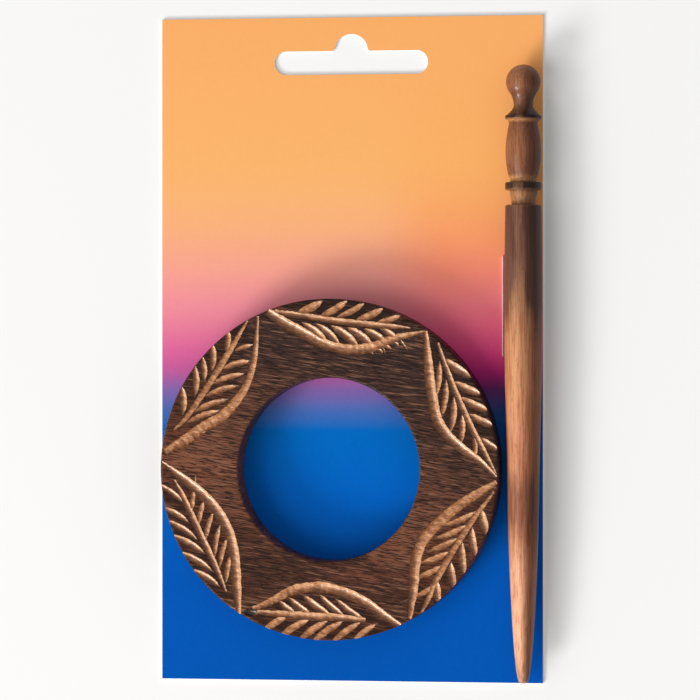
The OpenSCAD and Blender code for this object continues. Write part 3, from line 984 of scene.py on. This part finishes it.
@dataclass
class CarvedRing(Piece):
    """The turned disc with its bore, and the six leaves cut into its face. Lengths are in metres."""

    middle: Vector
    foot: float
    top: float
    outer_r: float
    bore_r: float
    ease: float = 0.5 * MM
    ease_steps: int = 6
    sides: int = 360
    step: float = 0.25 * MM
    wall_slope: float = 70.0
    blade_sides: int = 36
    lens_power: float = 2.8
    blunt: float = 0.1
    wander: float = 0.05 * MM
    waver: float = 0.16
    tear: float = 4.5
    lump: float = 0.85 * MM
    seed: float = 4.0
    fold: float = 32.0
    # The way, in degrees, that faces away from the lamps; cut walls that face it are painted in shade.
    shade_way: float = 43.0
    knot_leaf: int = 3
    knot_at: Point = (14.1, 31.2)
    knot_reach: Row = (1.3 * MM, 0.8 * MM, 1.2 * MM)
    node = "ring"
    slot = "carved_wood"

    @classmethod
    def in_frame(cls, bore_r: float) -> CarvedRing:
        """Take the ring's place and size from the frame, and the bore's from the record."""
        low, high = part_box(cls.node)
        return cls((low + high) / 2, low.z, high.z, (high.x - low.x) / 2, bore_r)

    def place(self, leaf: Leaf, along: float, out: float) -> Vector:
        """Find the point on the ring's face that a leaf's chart gives.

        Args:
            leaf: the leaf.
            along: how far the point is clockwise from the leaf's middle, in millimetres.
            out: how far it is from the ring's middle, the leaf's own way, in millimetres.

        Returns:
            The point, in metres.
        """
        turn = math.radians(leaf.turn)
        out_way = Vector((math.cos(turn), math.sin(turn), 0.0))
        along_way = Vector((math.sin(turn), -math.cos(turn), 0.0))
        point = self.middle + (out_way * out + along_way * along) * MM
        return Vector((point.x, point.y, self.top))

    def chart(self) -> Mesh:
        """Lay out every stroke of the six leaves as a line of points on the ring's face.

        Returns:
            A mesh of loose edges. Each point has its half width, whether its stroke runs out to a tip at both
            ends like a lens, and whether the wood is torn there.
        """
        points: list[Vector] = []
        lines: list[tuple[int, int]] = []
        facts: dict[str, list[float]] = {"half_width": [], "lens": [], "torn": []}
        for leaf in LEAVES:
            for stroke in leaf.strokes():
                first = len(points)
                lines += [(i, i + 1) for i in range(first, first + len(stroke.points) - 1)]
                for (along, out), width in zip(stroke.points, stroke.widths):
                    points.append(self.place(leaf, along, out))
                    facts["half_width"].append(width / 2 * FULLNESS[stroke.cut] * MM)
                    facts["lens"].append(float(stroke.cut in (Cut.VEIN, Cut.TEAR)))
                    facts["torn"].append(float(stroke.torn[0] <= along <= stroke.torn[1]))
        mesh = bpy.data.meshes.new("gouge_strokes")
        mesh.from_pydata(points, lines, [])
        for name, values in facts.items():
            mesh.attributes.new(name, "FLOAT", "POINT").data.foreach_set("value", values)
        return mesh

    def blank(self, form: Form) -> Node:
        """Turn the plain disc: a ring of one eased section, swept round a circle.

        Args:
            form: the tree that it is built in.

        Returns:
            The node that holds the disc.
        """
        tree = form.tree
        bore, outer = form.want("Bore radius", self.bore_r), form.want("Outer radius", self.outer_r)
        wide = add(tree, "ShaderNodeMath", {0: outer, 1: bore}, operation="SUBTRACT")
        size = {"Width": wide, "Height": form.want("Thickness", self.top - self.foot)}
        section = add(tree, "GeometryNodeCurvePrimitiveQuadrilateral", size, mode="RECTANGLE")
        steps, ease = form.want("Ease steps", self.ease_steps), form.want("Ease", self.ease)
        round_off = {"Curve": section, "Count": steps, "Radius": ease}
        eased = add(tree, "GeometryNodeFilletCurve", round_off, mode="POLY")
        both = add(tree, "ShaderNodeMath", {0: bore, 1: outer}, operation="ADD")
        middle_r = add(tree, "ShaderNodeMath", {0: both, 1: 0.5}, operation="MULTIPLY")
        size = {"Resolution": form.want("Sides", self.sides), "Radius": middle_r}
        path = add(tree, "GeometryNodeCurvePrimitiveCircle", size, mode="RADIUS")
        level = add(tree, "GeometryNodeSetCurveNormal", {"Curve": path}, mode="Z_UP")
        disc = add(tree, "GeometryNodeCurveToMesh", {"Curve": level, "Profile Curve": eased})
        middle = form.want("Middle", self.middle)
        return add(tree, "GeometryNodeTransform", {"Geometry": disc, "Translation": middle})

    def blade(self, form: Form) -> Node:
        """Bend the gouge's section for a half width of one: a circle that dips below the face.

        Args:
            form: the tree that it is built in.

        Returns:
            The node that holds the section, with Y into the wood.
        """
        tree = form.tree
        slope = form.want("Wall slope", math.radians(self.wall_slope))
        sine = add(tree, "ShaderNodeMath", {0: slope}, operation="SINE")
        radius = add(tree, "ShaderNodeMath", {0: 1.0, 1: sine}, operation="DIVIDE")
        size = {"Resolution": form.want("Blade sides", self.blade_sides), "Radius": radius}
        circle = add(tree, "GeometryNodeCurvePrimitiveCircle", size, mode="RADIUS")
        tangent = add(tree, "ShaderNodeMath", {0: slope}, operation="TANGENT")
        lift = add(tree, "ShaderNodeMath", {0: -1.0, 1: tangent}, operation="DIVIDE")
        raised = add(tree, "ShaderNodeCombineXYZ", {"Y": lift})
        return add(tree, "GeometryNodeTransform", {"Geometry": circle, "Translation": raised})

    def reach(self, form: Form, torn: Node, noise: Node) -> Node:
        """Half the width of a cut at each point: charted, run out to a tip on a vein, and wavering.

        Args:
            form: the tree that it is worked out in.
            torn: the node that reads whether the wood is torn at the point.
            noise: the waver of the hand, about one half.

        Returns:
            The node that holds it.
        """
        tree = form.tree
        half = add(tree, "GeometryNodeInputNamedAttribute", {"Name": "half_width"}, data_type="FLOAT")
        lens = add(tree, "GeometryNodeInputNamedAttribute", {"Name": "lens"}, data_type="FLOAT")
        share = add(tree, "GeometryNodeSplineParameter")
        twice = add(tree, "ShaderNodeMath", {0: share, 1: 2.0, 2: -1.0}, operation="MULTIPLY_ADD")
        far = add(tree, "ShaderNodeMath", {0: twice}, operation="ABSOLUTE")
        power = form.want("Lens power", self.lens_power)
        hollow = add(tree, "ShaderNodeMath", {0: far, 1: power}, operation="POWER")
        lost = add(tree, "ShaderNodeMath", {0: hollow, 1: lens}, operation="MULTIPLY")
        left = add(tree, "ShaderNodeMath", {0: 1.0, 1: lost}, operation="SUBTRACT")
        kept = add(tree, "ShaderNodeMath", {0: left, 1: form.want("Blunt", self.blunt)}, operation="MAXIMUM")
        rough = add(tree, "ShaderNodeMath", {0: torn, 1: 1.0}, operation="ADD")
        waver = form.want("Waver", self.waver)
        swing = add(tree, "ShaderNodeMath", {0: waver, 1: rough}, operation="MULTIPLY")
        sway = add(tree, "ShaderNodeMath", {0: noise, 1: 2.0, 2: -1.0}, operation="MULTIPLY_ADD")
        hand = add(tree, "ShaderNodeMath", {0: sway, 1: swing, 2: 1.0}, operation="MULTIPLY_ADD")
        steady = add(tree, "ShaderNodeMath", {0: half, 1: kept}, operation="MULTIPLY")
        return add(tree, "ShaderNodeMath", {0: steady, 1: hand}, operation="MULTIPLY")

    def gouge(self, form: Form) -> Node:
        """Sweep the round gouge along every stroke, with the small wavers of a hand.

        Args:
            form: the tree that it is built in.

        Returns:
            The node that holds the wood each stroke takes out, one instance to a stroke.
        """
        tree = form.tree
        lines = add(tree, "GeometryNodeMeshToCurve", {"Mesh": form.base})
        smooth = add(tree, "GeometryNodeCurveSplineType", {"Curve": lines}, spline_type="CATMULL_ROM")
        step = form.want("Step", self.step)
        fine = add(tree, "GeometryNodeResampleCurve", {"Curve": smooth, "Length": step}, mode="LENGTH")
        torn = add(tree, "GeometryNodeInputNamedAttribute", {"Name": "torn"}, data_type="FLOAT")
        lump = form.want("Lump", self.lump)
        scale = add(tree, "ShaderNodeMath", {0: 1.0, 1: lump}, operation="DIVIDE")
        hand = {"W": form.want("Seed", self.seed), "Scale": scale, "Detail": 4.0}
        noise = add(tree, "ShaderNodeTexNoise", hand, noise_dimensions="4D")
        about = {0: noise.outputs["Color"], 1: (0.5, 0.5, 0.5)}
        centred = add(tree, "ShaderNodeVectorMath", about, operation="SUBTRACT")
        flat = add(tree, "ShaderNodeVectorMath", {0: centred, 1: (2.0, 2.0, 0.0)}, operation="MULTIPLY")
        tear = form.want("Tear", self.tear)
        rough = add(tree, "ShaderNodeMath", {0: torn, 1: tear, 2: 1.0}, operation="MULTIPLY_ADD")
        wander = form.want("Wander", self.wander)
        swing = add(tree, "ShaderNodeMath", {0: wander, 1: rough}, operation="MULTIPLY")
        offset = add(tree, "ShaderNodeVectorMath", {0: flat, 3: swing}, operation="SCALE")
        moved = add(tree, "GeometryNodeSetPosition", {"Geometry": fine, "Offset": offset})
        level = add(tree, "GeometryNodeSetCurveNormal", {"Curve": moved}, mode="Z_UP")
        reach = self.reach(form, torn, noise)
        sweep = {"Curve": level, "Profile Curve": self.blade(form), "Scale": reach, "Fill Caps": True}
        swept = add(tree, "GeometryNodeCurveToMesh", sweep)
        mark = {"Geometry": swept, "Name": "fresh_cut", "Value": 1.0}
        marked = add(tree, "GeometryNodeStoreNamedAttribute", mark, data_type="FLOAT", domain="FACE")
        stroke = {"Geometry": marked, "Group ID": add(tree, "GeometryNodeInputMeshIsland")}
        return add(tree, "GeometryNodeSplitToInstances", stroke, domain="FACE")

    def build(self) -> Thing:
        """Turn the disc, cut the leaves into it, dress it and hand it over.

        Returns:
            The finished ring.
        """
        form = Form("carved_ring")
        tree = form.tree
        cuts = {"Mesh 1": self.blank(form), "Mesh 2": self.gouge(form)}
        carved = add(tree, "GeometryNodeMeshBoolean", cuts, operation="DIFFERENCE", solver="MANIFOLD")
        shaded = form.creased(carved, self.fold)
        # How far each point faces away from the lamps is stored here, and the cut wood paints light and shade
        # by it.
        way = math.radians(self.shade_way)
        shade_way = form.want("Shade way", Vector((math.cos(way), math.sin(way), 0.0)))
        facing = {0: add(tree, "GeometryNodeInputNormal"), 1: shade_way}
        facing_away = add(tree, "ShaderNodeVectorMath", facing, operation="DOT_PRODUCT")
        mark = {"Geometry": shaded, "Name": "away_from_lamps", "Value": facing_away}
        marked = add(tree, "GeometryNodeStoreNamedAttribute", mark, data_type="FLOAT", domain="POINT")
        real = add(tree, "GeometryNodeRealizeInstances", {"Geometry": marked})
        knot = Knot(self.place(LEAVES[self.knot_leaf], *self.knot_at), self.knot_reach)
        stained = form.want("Stained wood", StainedHardwood(self.middle, knot).material())
        bare = form.want("Cut wood", CutHardwood(self.top, knot).material())
        skin = add(tree, "GeometryNodeSetMaterial", {"Geometry": real, "Material": stained})
        cut = add(tree, "GeometryNodeInputNamedAttribute", {"Name": "fresh_cut"}, data_type="FLOAT")
        fresh = add(tree, "FunctionNodeCompare", {0: cut, 1: 0.5}, operation="GREATER_THAN")
        walls = {"Geometry": skin, "Selection": fresh, "Material": bare}
        dressed = add(tree, "GeometryNodeSetMaterial", walls)
        return self.hand_over(form.freeze(self.chart(), dressed, "carved_ring"))


@dataclass
class TurnedStick(Piece):
    """The turned stick: ball, neck, two collars, barrel, cove and a tapering shaft.

    The axis and the whole length are in metres, as in the frame, and every other length is in millimetres.
    Each of the three kinds of rows holds (share of the length, share of the swell) down one part of it.
    """

    axis: Vector
    length: float
    ball_r: float = 3.625
    ball_start: float = 179.0
    ball_steps: int = 40
    neck_at: float = 5.8
    neck_l: float = 4.7
    neck_r: float = 2.0
    collar_r: float = 3.8
    upper_collar_t: float = 1.0
    collar_slope: float = 0.65
    barrel_r: float = 3.725
    barrel_end_r: float = 2.95
    barrel_l: float = 11.45
    barrel_peak: float = 0.55
    barrel_steps: int = 30
    groove_r: float = 2.75
    groove_l: float = 0.9
    lower_collar_t: float = 1.7
    cove_r: float = 2.5
    cove_top_r: float = 2.9
    cove_l: float = 3.05
    shaft_r: float = 3.95
    shaft_l: float = 98.95
    shoulder_share: float = 0.94
    tip_r: float = 1.1
    tip_l: float = 0.8
    edge: float = 0.35
    edge_steps: int = 5
    least_step: float = 0.01
    sides: int = 96
    step: float = 0.5
    out_of_round: float = 0.04
    lump: float = 7.0
    seed: float = 11.0
    fold: float = 38.0
    neck_rows: tuple[Point, ...] = (
        (0.1, 0.4), (0.22, 0.22), (0.36, 0.08), (0.5, 0.01), (0.58, 0.0), (0.68, 0.09), (0.8, 0.33),
        (0.9, 0.65), (1.0, 0.95),
    )
    cove_rows: tuple[Point, ...] = ((0.0, 1.0), (0.3, 0.88), (0.6, 0.2), (0.8, 0.0), (1.0, 0.0))
    shaft_rows: tuple[Point, ...] = (
        (0.09, 0.979), (0.2, 1.0), (0.29, 1.0), (0.36, 0.972), (0.42, 0.923), (0.48, 0.868), (0.54, 0.818),
        (0.61, 0.775), (0.68, 0.725), (0.75, 0.65), (0.8, 0.58), (0.84, 0.51), (0.88, 0.43), (0.92, 0.34),
        (0.96, 0.215), (0.985, 0.115), (1.0, 0.0),
    )
    tip_turns: tuple[float, ...] = (15, 30, 45, 60, 72, 82, 89)
    node = "stick"
    slot = "turned_wood"

    @classmethod
    def in_frame(cls) -> TurnedStick:
        """Take the stick's axis, its top and its length from the frame."""
        low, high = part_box(cls.node)
        return cls(Vector(((low.x + high.x) / 2, high.y, (low.z + high.z) / 2)), high.y - low.y)

    def stretch(self, rows: Sequence[Point], at: float, run: float, low: float, high: float) -> list[Point]:
        """Turn rows of shares into rows of (station, radius).

        Args:
            rows: shares of the run and of the swell.
            at: the station that the run starts from.
            run: how long it is.
            low: the radius at a swell of nought.
            high: the radius at a swell of one.

        Returns:
            The rows in millimetres.
        """
        return [(at + share * run, low + swell * (high - low)) for share, swell in rows]

    def through(self, rows: Sequence[Point]) -> list[Point]:
        """A fair line through (station, radius) rows that never swings past them.

        Args:
            rows: the rows, from the head toward the tip.

        Returns:
            Points about one step apart, with the rows' own ends.
        """
        slopes = [(b[1] - a[1]) / (b[0] - a[0]) for a, b in zip(rows, rows[1:])]
        inner = [0.0 if s * t <= 0 else 2 * s * t / (s + t) for s, t in zip(slopes, slopes[1:])]
        ways = [slopes[0], *inner, slopes[-1]]
        points = [rows[0]]
        for a, b, way_a, way_b in zip(rows, rows[1:], ways, ways[1:]):
            run = b[0] - a[0]
            count = max(2, math.ceil(run / self.step))
            for t in (i / count for i in range(1, count + 1)):
                ends = a[1] + (3 - 2 * t) * t * t * (b[1] - a[1])
                swing = t * (1 - t) * run * ((1 - t) * way_a - t * way_b)
                points.append((a[0] + run * t, ends + swing))
        return points

    def collar(self, at: float, thick: float) -> list[Point]:
        """The rim of a collar, with both of its edges eased.

        Args:
            at: the station of its upper face.
            thick: how thick it is.

        Returns:
            Its points, as (station, radius).
        """
        base, steps = self.collar_r - self.edge, self.edge_steps
        upper = arc((at + self.edge, base), self.edge, 180, 90, steps)
        return upper + arc((at + thick - self.edge, base), self.edge, 90, 0, steps)

    def barrel(self, at: float) -> list[Point]:
        """The barrel's outline, a bow that is fullest a little below its middle.

        Args:
            at: the station of its upper end.

        Returns:
            Its points, as (station, radius).
        """
        rows = []
        for share in (i / self.barrel_steps for i in range(self.barrel_steps + 1)):
            side = self.barrel_peak if share < self.barrel_peak else 1 - self.barrel_peak
            rows.append((share, ((share - self.barrel_peak) / side) ** 2))
        return self.stretch(rows, at, self.barrel_l, self.barrel_r, self.barrel_end_r)

    def outline(self) -> list[Point]:
        """Lay the turned outline end to end, from the ball's top to the tip.

        Returns:
            Its points, as (station, radius).
        """
        ball_end = 90 - math.degrees(math.asin((self.neck_at - self.ball_r) / self.ball_r))
        points = arc((self.ball_r, 0.0), self.ball_r, self.ball_start, ball_end, self.ball_steps)
        rim = self.collar_r - self.edge
        neck = self.stretch(self.neck_rows, self.neck_at, self.neck_l, self.neck_r, rim)
        points += self.through([points[-1], *neck])[1:]
        at = self.neck_at + self.neck_l
        points += self.collar(at, self.upper_collar_t)
        at += self.upper_collar_t + self.collar_slope
        points += self.barrel(at)
        at += self.barrel_l
        points += [(at, self.groove_r), (at + self.groove_l, self.groove_r)]
        at += self.groove_l
        points += self.collar(at, self.lower_collar_t)
        at += self.lower_collar_t
        points += self.through(self.stretch(self.cove_rows, at, self.cove_l, self.cove_r, self.cove_top_r))
        at += self.cove_l
        shoulder = self.tip_r + self.shoulder_share * (self.shaft_r - self.tip_r)
        points += arc((at + self.edge, shoulder - self.edge), self.edge, 180, 90, self.edge_steps)
        shaft = self.stretch(self.shaft_rows, at, self.shaft_l, self.tip_r, self.shaft_r)
        points += self.through([points[-1], *shaft])[1:]
        at += self.shaft_l
        for turn in map(math.radians, self.tip_turns):
            points.append((at + self.tip_l * math.sin(turn), self.tip_r * math.cos(turn)))
        return points

    def chart(self) -> Mesh:
        """Lay the outline's stations along the stick's axis.

        Returns:
            A mesh of loose edges, each point with its radius.
        """
        outline = self.outline()
        points = [self.axis - Vector((0.0, station * MM, 0.0)) for station, _ in outline]
        # Two radii at one station make a flat step, which the sweep needs a hair apart.
        for above, point in zip(points, points[1:]):
            point.y = min(point.y, above.y - self.least_step * MM)
        mesh = bpy.data.meshes.new("turned_outline")
        mesh.from_pydata(points, [(i, i + 1) for i in range(len(points) - 1)], [])
        radii = [radius * MM for _, radius in outline]
        mesh.attributes.new("radius_here", "FLOAT", "POINT").data.foreach_set("value", radii)
        return mesh

    def build(self) -> Thing:
        """Sweep a circle down the axis, let it run a little out of round, dress it and hand it over.

        Returns:
            The finished stick.
        """
        form = Form("turned_stick")
        tree = form.tree
        path = add(tree, "GeometryNodeMeshToCurve", {"Mesh": form.base})
        level = add(tree, "GeometryNodeSetCurveNormal", {"Curve": path}, mode="Z_UP")
        size = {"Resolution": form.want("Sides", self.sides), "Radius": 1.0}
        circle = add(tree, "GeometryNodeCurvePrimitiveCircle", size, mode="RADIUS")
        radius = add(tree, "GeometryNodeInputNamedAttribute", {"Name": "radius_here"}, data_type="FLOAT")
        sweep = {"Curve": level, "Profile Curve": circle, "Scale": radius, "Fill Caps": True}
        body = add(tree, "GeometryNodeCurveToMesh", sweep)
        lumps = {"W": form.want("Seed", self.seed), "Scale": 1 / (self.lump * MM), "Detail": 1.0}
        noise = add(tree, "ShaderNodeTexNoise", lumps, noise_dimensions="4D")
        about = add(tree, "ShaderNodeMath", {0: noise, 1: 0.5}, operation="SUBTRACT")
        out_of_round = form.want("Out of round", self.out_of_round * MM)
        swing = add(tree, "ShaderNodeMath", {0: about, 1: out_of_round}, operation="MULTIPLY")
        normal = add(tree, "GeometryNodeInputNormal")
        offset = add(tree, "ShaderNodeVectorMath", {0: normal, 3: swing}, operation="SCALE")
        uneven = add(tree, "GeometryNodeSetPosition", {"Geometry": body, "Offset": offset})
        real = add(tree, "GeometryNodeRealizeInstances", {"Geometry": form.creased(uneven, self.fold)})
        wood = form.want("Turned wood", TurnedHardwood(self.axis, self.length).material())
        skin = add(tree, "GeometryNodeSetMaterial", {"Geometry": real, "Material": wood})
        return self.hand_over(form.freeze(self.chart(), skin, "turned_stick"))


@dataclass
class Sheet(Piece):
    """What the flat pieces share: their box's corners, in metres, and how a sheet is cut."""

    low: Vector
    high: Vector

    @classmethod
    def in_frame(cls) -> Sheet:
        """Take the piece's corners from the frame."""
        return cls(*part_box(cls.node))

    def cut_out(self, *loops: Sequence[Point]) -> bmesh.types.BMesh:
        """Cut a sheet of the piece's own thickness.

        Args:
            loops: its outline, and after it the outline of each hole.

        Returns:
            The sheet, with its faces outward.
        """
        form = bmesh.new()
        edges: list[bmesh.types.BMEdge] = []
        for loop in loops:
            ring = [form.verts.new((x, y, self.low.z)) for x, y in loop]
            edges += [form.edges.new(pair) for pair in zip(ring, ring[1:] + ring[:1])]
        bmesh.ops.triangle_fill(form, edges=edges, use_beauty=True)
        upper = bmesh.ops.extrude_face_region(form, geom=list(form.faces), use_keep_orig=True)
        raised = [v for v in upper["geom"] if isinstance(v, bmesh.types.BMVert)]
        bmesh.ops.translate(form, verts=raised, vec=(0.0, 0.0, self.high.z - self.low.z))
        bmesh.ops.recalc_face_normals(form, faces=form.faces)
        return form


@dataclass
class HangCard(Sheet):
    """The flat printed card with its hanger slot."""

    slot_l: float = 32.7 * MM
    slot_h: float = 5.0 * MM
    dome_r: float = 3.55 * MM
    slot_margin: float = 3.5 * MM
    corner_r: float = 0.5 * MM
    corner_steps: int = 5
    end_steps: int = 24
    dome_steps: int = 32
    slant: Vector = Vector((0.31, 0.73, 0.61))
    node = "card"
    slot = "printed_board"

    def slot_outline(self) -> list[Point]:
        """Draw the slot with its round ends, and the dome over its middle with eased feet.

        Returns:
            Its points, anticlockwise.
        """
        dome_y = self.high.y - self.slot_margin - self.dome_r
        half, end_r = (self.slot_l - self.slot_h) / 2, self.slot_h / 2
        ease_y, ease_x = dome_y + self.corner_r, self.dome_r + self.corner_r
        rise = math.degrees(math.asin(self.corner_r / self.dome_r))
        return [
            *arc((half, dome_y - end_r), end_r, -90, 90, self.end_steps),
            *arc((ease_x, ease_y), self.corner_r, 270, 180, self.corner_steps)[:-1],
            *arc((0.0, dome_y), self.dome_r, rise, 180 - rise, self.dome_steps),
            *arc((-ease_x, ease_y), self.corner_r, 0, -90, self.corner_steps)[1:],
            *arc((-half, dome_y - end_r), end_r, 90, 270, self.end_steps),
        ]

    def build(self) -> Thing:
        """Cut the card out, dress it and hand it over.

        Returns:
            The finished card.
        """
        (left, foot), (right, head) = self.low.xy, self.high.xy
        form = self.cut_out([(left, foot), (right, foot), (right, head), (left, head)], self.slot_outline())
        # The fill lists its triangles in a chance order, so corners and faces are put in order along a slant.
        form.verts.sort(key=lambda corner: corner.co @ self.slant)
        form.faces.sort(key=lambda face: face.calc_center_median() @ self.slant)
        mesh = bpy.data.meshes.new("hang_card")
        for finish in (PrintedBoard(foot, head), RawBoard()):
            mesh.materials.append(finish.material())
        for face in form.faces:
            face.material_index = 0 if face.normal.z > 0.5 else 1
        form.to_mesh(mesh)
        form.free()
        return self.hand_over(put("hang_card", mesh))


@dataclass
class AdhesiveStrip(Sheet):
    """The thin double-sided strip that holds the stick. Its turns are in radians, between two faces."""

    corner_r: float = 0.6 * MM
    corner_steps: int = 6
    edge: float = 0.08 * MM
    edge_steps: int = 3
    flat_turn: float = 0.01
    rim_turn: float = 1.0
    node = "adhesive_strip"
    slot = "adhesive_film"

    def build(self) -> Thing:
        """Cut the strip with round corners, ease its edges, dress it and hand it over.

        Returns:
            The finished strip.
        """
        middle, half = (self.low + self.high) / 2, (self.high - self.low) / 2
        outline: list[Point] = []
        for quarter, (x, y) in enumerate(((1, 1), (-1, 1), (-1, -1), (1, -1))):
            corner = middle.x + x * (half.x - self.corner_r), middle.y + y * (half.y - self.corner_r)
            outline += arc(corner, self.corner_r, 90 * quarter, 90 * quarter + 90, self.corner_steps)
        form = self.cut_out(outline)
        bmesh.ops.dissolve_limit(form, angle_limit=self.flat_turn, verts=form.verts, edges=form.edges)
        rims = [edge for edge in form.edges if edge.calc_face_angle() > self.rim_turn]
        steps = self.edge_steps
        bmesh.ops.bevel(form, geom=rims, offset=self.edge, segments=steps, profile=0.5, affect="EDGES")
        mesh = bpy.data.meshes.new("adhesive_strip")
        form.to_mesh(mesh)
        form.free()
        mesh.materials.append(AdhesiveFilm(middle.x, half.x).material())
        return self.hand_over(put("adhesive_film_strip", mesh))


@dataclass(frozen=True)
class Lamp:
    """One soft panel of light. Its turns are in degrees, its lengths in metres and its power in watts."""

    name: str
    turn: float
    height: float
    away: float
    wide: float
    tall: float
    power: float


@dataclass
class Studio:
    """Pale floor, two soft lamps from the lower left, a plain sky and the camera. Lengths are in metres."""

    floor_r: float = 4.0
    floor_sides: int = 96
    floor_z: float = -0.05 * MM
    aim: Vector = Vector((-0.32 * MM, -0.19 * MM, 0.0))
    lean: float = 8.5
    distance: float = 0.8
    seen: float = 147.8 * MM
    film: float = 36.0
    nearest: float = 0.05
    farthest: float = 20.0
    sky: float = 0.46
    lamps: tuple[Lamp, ...] = (
        Lamp("key", turn=217.0, height=50.0, away=3.2, wide=3.0, tall=1.8, power=42.0),
        Lamp("low", turn=226.0, height=27.0, away=3.4, wide=1.1, tall=0.8, power=66.0),
    )

    def lay_floor(self) -> None:
        """Lay the floor just under the card."""
        form = bmesh.new()
        bmesh.ops.create_circle(form, cap_ends=True, segments=self.floor_sides, radius=self.floor_r)
        bmesh.ops.translate(form, verts=form.verts, vec=(0.0, 0.0, self.floor_z))
        mesh = bpy.data.meshes.new("floor")
        form.to_mesh(mesh)
        form.free()
        mesh.materials.append(PaleFloor().material())
        put("floor", mesh)

    def hang(self, lamp: Lamp) -> None:
        """Hang one lamp and aim it at the card's middle.

        Args:
            lamp: the lamp.
        """
        data = bpy.data.lights.new(lamp.name, "AREA")
        data.shape = "RECTANGLE"
        data.size, data.size_y = lamp.wide, lamp.tall
        data.energy = lamp.power
        side, up = math.radians(lamp.turn), math.radians(lamp.height)
        away = Vector((math.cos(side) * math.cos(up), math.sin(side) * math.cos(up), math.sin(up)))
        panel = put(lamp.name, data)
        panel.location = away * lamp.away
        panel.rotation_euler = away.to_track_quat("Z", "Y").to_euler()
        panel.visible_camera = False

    def set_camera(self) -> None:
        """Set the camera over the card, leaning to its right as the photograph was taken."""
        data = bpy.data.cameras.new("camera")
        data.sensor_width = self.film
        data.lens = self.film * self.distance / self.seen
        data.clip_start, data.clip_end = self.nearest, self.farthest
        camera = put("camera", data)
        lean = math.radians(self.lean)
        camera.location = self.aim + self.distance * Vector((math.sin(lean), 0.0, math.cos(lean)))
        camera.rotation_euler = (0.0, lean, 0.0)
        bpy.context.scene.camera = camera

    def build(self) -> None:
        """Lay the floor, hang the lamps, light the sky and set the camera."""
        self.lay_floor()
        for lamp in self.lamps:
            self.hang(lamp)
        world = bpy.data.worlds.new("sky")
        world.use_nodes = True
        sky = world.node_tree.nodes["Background"]
        feed(world.node_tree, sky, {"Color": linear("#FFFFFF"), "Strength": self.sky})
        bpy.context.scene.world = world
        bpy.context.scene.view_settings.view_transform = "Standard"
        self.set_camera()


def bore_radius(record: Mapping[str, object]) -> float:
    """The radius of the ring's bore, as the record's mount states it, in metres."""
    mount = next(m for m in record["mounts"] if m["name"] == "ring_bore")
    return mount["dims"]["r_mm"] * MM


def main() -> None:
    """Load the frame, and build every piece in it."""
    logging.basicConfig(level=logging.INFO, format="%(name)s: %(message)s")
    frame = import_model()
    Studio().build()
    ring = CarvedRing.in_frame(bore_radius(frame["record"]))
    for part in (HangCard.in_frame(), ring, TurnedStick.in_frame(), AdhesiveStrip.in_frame()):
        piece = part.build()
        triangles = sum(len(face.vertices) - 2 for face in piece.data.polygons)
        log.info("%s: %d faces, %d triangles", piece.name, len(piece.data.polygons), triangles)


if __name__ == "__main__":
    main()
